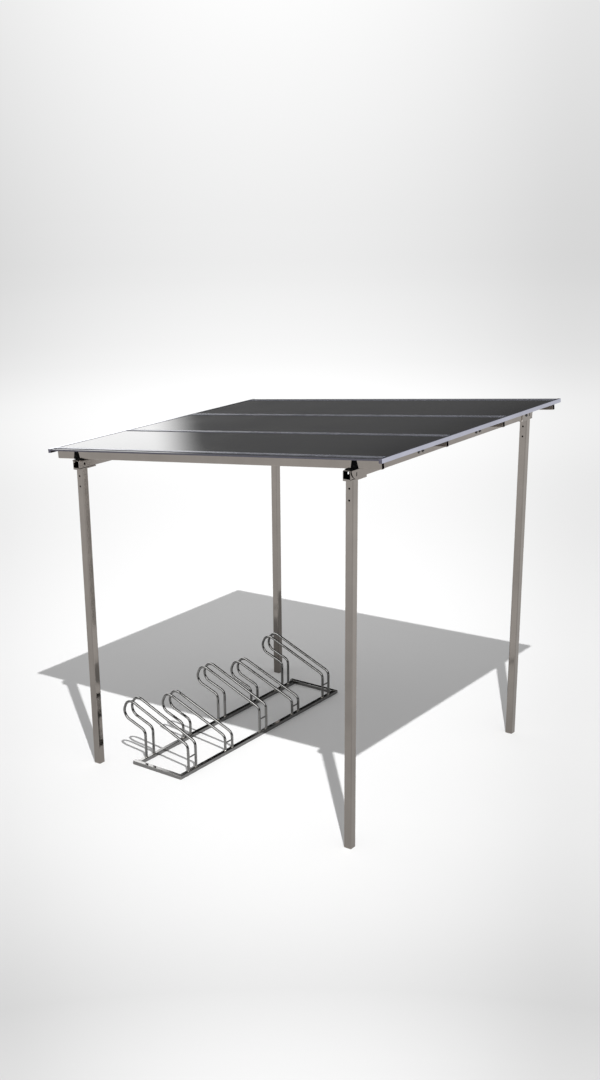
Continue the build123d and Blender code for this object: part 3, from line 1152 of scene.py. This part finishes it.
@dataclass
class RackDressing:
    """The wheel rack: polished rails and bent bars, with welds at every foot and corner.

    Attributes:
        rail: The finish of the front and back rails.
        end_rail: The finish of the end bars.
        bent_bar: The finish of the wheel holders.
        foot_metal: The finish of the welds at the feet.
        corner_metal: The finish of the welds at the corners.
        foot: The shape of a bead round a foot.
        corner: The shape of a bead at a corner.
        bar_radius: The bent bars' radius.
        inset: From a rail's edge to the end of a bead.
        top_sink: How far a bead's middle is below the rails' top.
        corner_sink: How far an upright bead's middle is inside a sharp outer corner.
    """

    rail: Finish = DrawnSteel("rack_rail_steel", RACK_METAL, 0.05, Run.ACROSS, lines=0.03)
    end_rail: Finish = DrawnSteel("rack_end_steel", RACK_METAL, 0.05, Run.LEVEL, lines=0.03)
    bent_bar: Finish = DrawnSteel("holder_steel", RACK_METAL, 0.05, Run.LEVEL, lines=0.03)
    foot_metal: Finish = WeldedSteel("rack_weld_metal", RACK_WELD_METAL, 0.28)
    corner_metal: Finish = WeldedSteel("corner_weld_metal", RACK_WELD_METAL, 0.28)
    foot: WeldBead = WeldBead(0.0025)
    corner: WeldBead = WeldBead(0.0016)
    bar_radius: float = 0.009
    inset: float = 0.003
    top_sink: float = 0.0004
    corner_sink: float = 0.0008

    def finish_nodes(self) -> None:
        """Puts the rack's finishes on the CAD pieces."""
        made = {"rack_rail": self.rail.make(), "rack_end": self.end_rail.make(),
                "wheel_holder": self.bent_bar.make()}
        for name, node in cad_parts.items():
            stem = "_".join(name.split("_")[:2])
            if stem in made:
                dress(node, made[stem])

    def weld_feet(self) -> None:
        """Makes the beads where the bent bars stand on the two rails."""
        mesh = bmesh.new()
        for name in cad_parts:
            if not name.startswith("wheel_holder"):
                continue
            low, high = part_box(name)
            for x in (low.x + self.bar_radius, high.x - self.bar_radius):
                for rail in ("front", "back"):
                    rail_low, rail_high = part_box(f"rack_rail_{rail}")
                    place = Vector((x, (rail_low.y + rail_high.y) / 2, rail_high.z))
                    self.foot.ring(mesh, place, Vector((0, 0, 1)), self.bar_radius)
        bmesh.ops.remove_doubles(mesh, verts=mesh.verts, dist=1e-6)
        add_piece("rack_foot_welds", mesh, self.foot_metal.make(), WELD_SMOOTH_BELOW)

    def weld_mitre(self, mesh: bmesh.types.BMesh, outer: Vector, inner: Vector, inward: float) -> None:
        """Adds the beads of one front corner: along the mitre on top, and up its two edges.

        Args:
            mesh: The mesh to add to.
            outer: The mitre's outer corner, at the height of the beads' middle.
            inner: Its inner corner, at that height.
            inward: The direction along X from the corner to the middle of the rack, -1 or 1.
        """
        step = Vector((inward * self.inset, self.inset, 0.0))
        self.corner.seam(mesh, outer + step, inner - step)
        sunk = Vector((inward * self.corner_sink, self.corner_sink, 0.0))
        for edge in (outer + sunk, inner):
            self.corner.seam(mesh, Vector((edge.x, edge.y, self.inset)),
                             Vector((edge.x, edge.y, edge.z - self.inset)))

    def weld_corners(self) -> None:
        """Makes the beads along the front mitres, and where the back rail meets the end bars."""
        mesh = bmesh.new()
        front_low, front_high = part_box("rack_rail_front")
        back_low, back_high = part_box("rack_rail_back")
        top = front_high.z - self.top_sink
        width = front_high.y - front_low.y
        for end_x, inward in ((front_low.x, 1.0), (front_high.x, -1.0)):
            self.weld_mitre(mesh, Vector((end_x, front_low.y, top)),
                            Vector((end_x + inward * width, front_high.y, top)), inward)
        for x in (back_low.x, back_high.x):
            self.corner.seam(mesh, Vector((x, back_low.y + self.inset, top)),
                             Vector((x, back_high.y - self.inset, top)))
            for y in (back_low.y, back_high.y):
                self.corner.seam(mesh, Vector((x, y, self.inset)), Vector((x, y, top - self.inset)))
        add_piece("rack_corner_welds", mesh, self.corner_metal.make(), WELD_SMOOTH_BELOW)

    def build(self) -> None:
        """Dresses the rack from its finishes to its welds."""
        self.finish_nodes()
        self.weld_feet()
        self.weld_corners()


@dataclass
class Studio:
    """A wide pale floor, a soft surround and one lamp high over the open side.

    A direction's turn is its angle from +X about Z, and its rise is the Z of its unit vector.

    Attributes:
        floor_radius: The floor's radius.
        floor_sides: The sides of its outline.
        pool: The middle of the floor's rings of painted light and shade, on the ground.
        painted_light: The floor's colour at distances from there, where the object's light falls on it;
            painted light and shade, darker nearer the pool.
        far_tone: Its brightness at distances from there, where it runs into the backdrop.
        far_reach: The distances over which the one gives way to the other.
        heading: The turn at which floor and backdrop are brightest.
        floor_fade: How fast the near floor fades with the square of the turn from there.
        side_fade: How fast the far floor and the backdrop do.
        fade_reach: The distances over which the first fade gives way to the second.
        side_least: The level that the fading ends at.
        side_ease: How softly it ends there.
        sky_tone: The backdrop's brightness at each rise.
        wall_tone: The brightness at each rise of the walls that metal and sheets mirror.
        wall_slant: What is added to the rise there, at the ends of slant_turn.
        slant_turn: The turns between which that changes.
        window_level: The brightness of the window low down and high up.
        window_rise: The rises between which that changes.
        window_opens: The turns between which the window begins.
        window_closes: The turns between which it ends.
        window_top: The rises between which it ends above.
        panel_level: The brightness of the high panel on the -X side.
        panel_side: The parts along X of the directions between which the panel begins.
        panel_rise: The rises between which it begins.
        fill: The strength of the even light on the object.
        lamp_place: Where the lamp hangs.
        lamp_aim: Where it points.
        lamp_size: The diameter of its disk.
        lamp_power: Its power in watts, with no loss over the distance.
    """

    floor_radius: float = 60.0
    floor_sides: int = 96
    pool: Pair = (-6.872, -4.888)
    painted_light: Stops = (
        (4.6, 0.76), (5.0, 0.75), (5.65, 0.67), (6.45, 0.78), (7.3, 0.87), (8.4, 0.925),
        (10.5, 0.96), (70.0, 0.98))
    far_tone: Stops = (
        (12.0, 1.1), (18.0, 1.1), (22.0, 1.06), (24.0, 1.01), (26.0, 0.965), (29.0, 0.93),
        (33.0, 0.905), (43.0, 0.861), (51.0, 0.848), (70.0, 0.855))
    far_reach: Pair = (12.5, 21.0)
    heading: float = math.radians(37.0)
    floor_fade: float = 3.8
    side_fade: float = 4.76
    fade_reach: Pair = (18.0, 30.0)
    side_least: float = 0.8
    side_ease: float = 0.08
    sky_tone: Stops = (
        (-0.09, 0.85), (-0.045, 0.858), (0.0, 0.895), (0.02, 0.914), (0.058, 0.948), (0.096, 0.985),
        (0.14, 1.0))
    wall_tone: Stops = (
        (0.0, 0.6), (0.02, 0.12), (0.104, 0.12), (0.114, 0.03), (0.5, 0.02), (0.6, 0.35), (0.68, 0.35),
        (0.74, 0.03), (1.0, 0.03))
    wall_slant: Pair = (0.0234, -0.0248)
    slant_turn: Pair = (0.44, 0.72)
    window_level: Pair = (1.7, 3.5)
    window_rise: Pair = (0.2, 0.35)
    window_opens: Pair = (math.radians(40.9), math.radians(43.2))
    window_closes: Pair = (math.radians(70.0), math.radians(74.0))
    window_top: Pair = (0.5, 0.56)
    panel_level: float = 5.4
    panel_side: Pair = (-0.5, -0.25)
    panel_rise: Pair = (0.34, 0.46)
    fill: float = 0.5
    lamp_place: tuple[float, float, float] = (-5.59, -4.90, 12.06)
    lamp_aim: tuple[float, float, float] = (0.0, 0.0, 1.0)
    lamp_size: float = 0.12
    lamp_power: float = 8.4

    def faded(self, graph: NodeGraph, across: Any, along: Any, fade: Any) -> bpy.types.NodeSocket:
        """Works out how far a direction or place has faded to the sides.

        Args:
            graph: The graph to add to.
            across: Its part along X.
            along: Its part along Y.
            fade: How fast it fades with the square of the turn.

        Returns:
            The socket of a level that is 1 along the heading and side_least well to its sides.
        """
        turn = graph.math("SUBTRACT", graph.math("ARCTAN2", along, across), self.heading)
        loss = graph.math("MULTIPLY", graph.math("MULTIPLY", turn, turn), fade)
        return graph.math("SMOOTH_MAX", graph.math("SUBTRACT", 1.0, loss), self.side_least, self.side_ease)

    @staticmethod
    def seen(graph: NodeGraph, path: bpy.types.Node) -> bpy.types.NodeSocket:
        """Tells a view of the backdrop, straight or in metal or glass, from the light that it sheds.

        Args:
            graph: The graph to add to.
            path: Its Light Path node.

        Returns:
            The socket of a number that is 1 for a view and 0 for light.
        """
        mirrored = graph.math("MAXIMUM", path.outputs["Is Glossy Ray"], path.outputs["Is Transmission Ray"])
        return graph.math("MAXIMUM", path.outputs["Is Camera Ray"], mirrored)

    def floor_finish(self) -> bpy.types.Material:
        """Makes the floor's material: painted light and shade near the object, and even tones far from it.

        Returns:
            The material.
        """
        material = bpy.data.materials.new("floor_white")
        material.use_nodes = True
        graph = NodeGraph(material.node_tree)
        where = graph.add("Mapping", {"Vector": graph.add("TexCoord").outputs["Object"],
                                      "Location": (-self.pool[0], -self.pool[1], 0.0)}).outputs[0]
        reach = graph.add("VectorMath", {0: where}, operation="LENGTH").outputs["Value"]
        across, along, _up = graph.parts(where)
        # painted light and shade: the near floor is painted darker nearer the pool and to the sides
        fade = graph.spread(reach, self.floor_fade, self.side_fade, *self.fade_reach)
        side = self.faded(graph, across, along, fade)
        near = graph.math("MULTIPLY", graph.ramp(reach, self.painted_light), side)
        far = graph.math("MULTIPLY", graph.ramp(reach, self.far_tone), side)
        painted_light = graph.add("BsdfDiffuse", {"Color": near})
        glow = graph.add("Emission", {"Color": far})
        distant = graph.spread(reach, 0.0, 1.0, *self.far_reach, smooth=True)
        glowing = graph.math("MULTIPLY", distant, self.seen(graph, graph.add("LightPath")))
        both = graph.add("MixShader", {0: glowing, 1: painted_light.outputs[0], 2: glow.outputs[0]})
        graph.add("OutputMaterial", {"Surface": both.outputs[0]})
        return material

    def floor(self) -> None:
        """Makes the floor."""
        mesh = bmesh.new()
        bmesh.ops.create_circle(mesh, cap_ends=True, segments=self.floor_sides, radius=self.floor_radius)
        data = bpy.data.meshes.new("studio_floor")
        mesh.to_mesh(data)
        mesh.free()
        data.materials.append(self.floor_finish())
        piece = bpy.data.objects.new("studio_floor", data)
        bpy.context.scene.collection.objects.link(piece)

    def mirrored(self, graph: NodeGraph, direction: tuple[bpy.types.NodeSocket, ...]) -> bpy.types.NodeSocket:
        """Makes what metal and sheets mirror: dark walls, a bright window and a high side panel.

        Args:
            graph: The world's graph.
            direction: The X, Y and Z of the mirrored direction.

        Returns:
            The socket of its brightness.
        """
        across, along, rise = direction
        turn = graph.math("ARCTAN2", along, across)
        slant = graph.spread(turn, *self.wall_slant, *self.slant_turn)
        walls = graph.ramp(graph.math("ADD", rise, slant), self.wall_tone)
        opened = graph.spread(turn, 0.0, 1.0, *self.window_opens, smooth=True)
        closed = graph.spread(turn, 1.0, 0.0, *self.window_closes, smooth=True)
        topped = graph.spread(rise, 1.0, 0.0, *self.window_top, smooth=True)
        window = graph.math("MULTIPLY", graph.math("MULTIPLY", opened, closed), topped)
        level = graph.spread(rise, *self.window_level, *self.window_rise)
        panel = graph.math("MULTIPLY", graph.spread(across, 1.0, 0.0, *self.panel_side, smooth=True),
                           graph.spread(rise, 0.0, self.panel_level, *self.panel_rise, smooth=True))
        bright = graph.math("ADD", graph.math("MULTIPLY", window, level), panel)
        return graph.math("ADD", walls, bright)

    def surround(self) -> None:
        """Makes the world: an even fill, a pale backdrop, and what metal and sheets mirror."""
        world = bpy.data.worlds.new("studio")
        world.use_nodes = True
        bpy.context.scene.world = world
        graph = NodeGraph(world.node_tree)
        path = graph.add("LightPath")
        direction = graph.parts(graph.add("TexCoord").outputs["Generated"])
        across, along, rise = direction
        backdrop = graph.math("MULTIPLY", graph.ramp(rise, self.sky_tone),
                              self.faded(graph, across, along, self.side_fade))
        lit = graph.add("Background", {"Color": (1.0, 1.0, 1.0, 1.0), "Strength": self.fill})
        shown = graph.add("Background", {"Color": backdrop, "Strength": 1.0})
        bounced = graph.add("Background", {"Color": self.mirrored(graph, direction), "Strength": 1.0})
        straight = graph.add("MixShader", {0: path.outputs["Is Camera Ray"], 1: bounced.outputs[0],
                                           2: shown.outputs[0]})
        both = graph.add("MixShader", {0: self.seen(graph, path), 1: lit.outputs[0],
                                       2: straight.outputs[0]})
        graph.add("OutputWorld", {"Surface": both.outputs[0]})

    def lamp(self) -> None:
        """Hangs the main lamp, aimed at the middle of the shelter."""
        light = bpy.data.lights.new("main_lamp", "AREA")
        light.shape = "DISK"
        light.size = self.lamp_size
        light.energy = self.lamp_power
        light.use_nodes = True
        graph = NodeGraph(light.node_tree)
        even = graph.add("LightFalloff", {"Strength": 1.0}).outputs["Constant"]
        graph.add("OutputLight", {0: graph.add("Emission", {"Strength": even}).outputs[0]})
        lamp = bpy.data.objects.new("main_lamp", light)
        place = Vector(self.lamp_place)
        lamp.location = place
        lamp.rotation_euler = (place - Vector(self.lamp_aim)).to_track_quat("Z", "Y").to_euler()
        bpy.context.scene.collection.objects.link(lamp)

    def build(self) -> None:
        """Sets up the studio."""
        self.floor()
        self.surround()
        self.lamp()
        bpy.context.scene.view_settings.view_transform = "Standard"


@dataclass
class CameraRig:
    """The camera.

    Attributes:
        place: Where it stands.
        heading: The angle from +X about Z that it looks along, in radians.
        down: How far it looks down, in radians.
        roll: How far it is turned about its line of view, in radians.
        lens: The focal length, in millimetres.
        sensor: The sensor's larger side, in millimetres.
        shift: The lens's shift to the right and up, as a share of that side.
        clip: How far it sees.
    """

    place: tuple[float, float, float] = (-6.872, -4.888, 3.855)
    heading: float = math.radians(37.569)
    down: float = math.radians(19.068)
    roll: float = -0.0173
    lens: float = 45.124
    sensor: float = 36.0
    shift: Pair = (0.0381, 0.0706)
    clip: float = 300.0

    def build(self) -> None:
        """Makes the camera and hands it to the scene."""
        forward = Vector((math.cos(self.heading) * math.cos(self.down),
                          math.sin(self.heading) * math.cos(self.down), -math.sin(self.down)))
        level = Vector((math.sin(self.heading), -math.cos(self.heading), 0.0))
        over = level.cross(forward)
        right = math.cos(self.roll) * level + math.sin(self.roll) * over
        up = -math.sin(self.roll) * level + math.cos(self.roll) * over
        turn = Matrix((right, up, -forward)).transposed()
        data = bpy.data.cameras.new("camera")
        data.lens = self.lens
        data.sensor_width = self.sensor
        data.shift_x, data.shift_y = self.shift
        data.clip_end = self.clip
        camera = bpy.data.objects.new("camera", data)
        camera.matrix_world = Matrix.Translation(self.place) @ turn.to_4x4()
        bpy.context.scene.collection.objects.link(camera)
        bpy.context.scene.camera = camera


def main() -> None:
    """Builds every sub-assembly in order."""
    logging.basicConfig(level=logging.INFO, format="%(message)s")
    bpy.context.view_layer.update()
    CameraRig().build()
    Studio().build()
    FrameDressing().build()
    RoofDressing().build()
    RackDressing().build()


if __name__ == "__main__":
    main()
